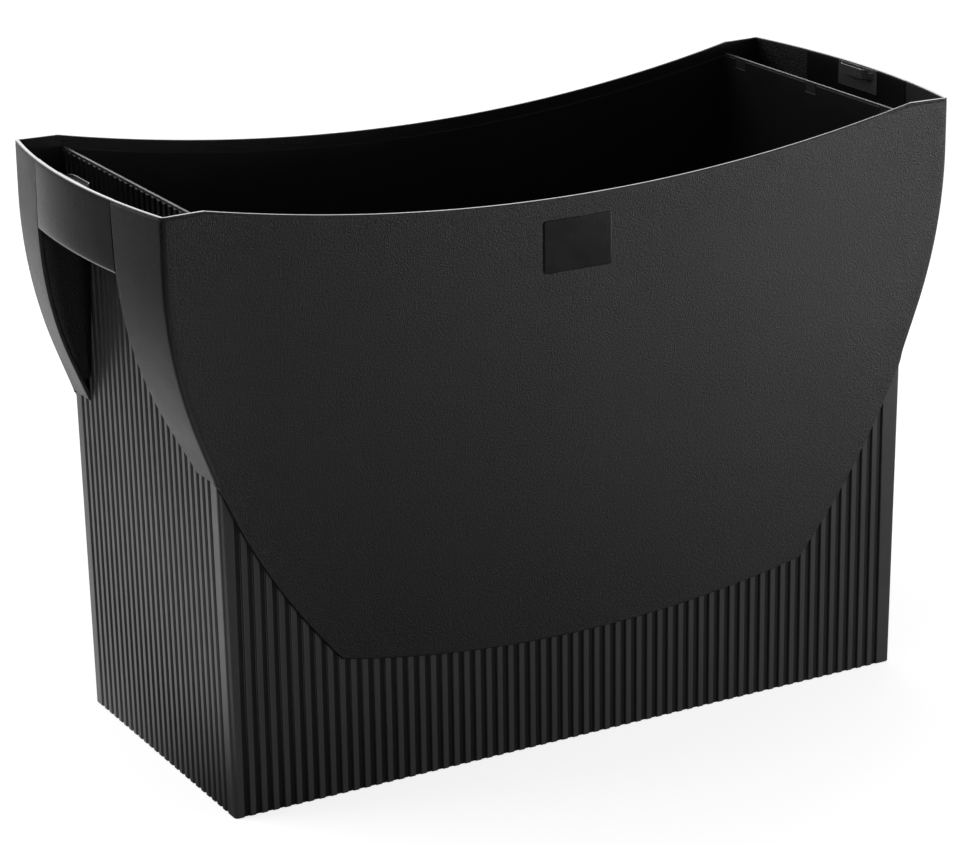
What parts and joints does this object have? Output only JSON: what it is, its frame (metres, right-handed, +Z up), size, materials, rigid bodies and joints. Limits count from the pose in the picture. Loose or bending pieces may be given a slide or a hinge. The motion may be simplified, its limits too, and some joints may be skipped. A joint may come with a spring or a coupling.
{
  "type": "portable file box",
  "caption": "Portable box for hanging files: a ribbed tapering bin, smooth outer shells with flared wings, and a curved carrying band at each end.",
  "frame": {"origin": "bottom centre of the box, on the surface that it stands on", "axes": "+X along the length, from one carrying band to the other; -Y is the front, with the blank plate; +Z up"},
  "size_m": [0.39, 0.1498, 0.2605],
  "materials": {
    "bin_plastic": "moulded polystyrene, black, lightly grained ribs",
    "shell_plastic": "moulded polystyrene, black, fine spark-eroded grain",
    "handle_plastic": "moulded polystyrene, black, satin and smoother than the shells",
    "rail_plastic": "moulded polystyrene, black, worn bright along the top",
    "catch_plastic": "moulded polystyrene, black, coarse top",
    "plate_plastic": "moulded polystyrene, black, smooth and blank"
  },
  "bodies": {
    "root": {"file_bin": "bin_plastic", "front_shell": "shell_plastic", "rear_shell": "shell_plastic", "left_handle": "handle_plastic", "right_handle": "handle_plastic", "left_file_rail": "rail_plastic", "right_file_rail": "rail_plastic", "left_lid_catch": "catch_plastic", "right_lid_catch": "catch_plastic", "front_plate": "plate_plastic"}
  },
  "joints": []
}
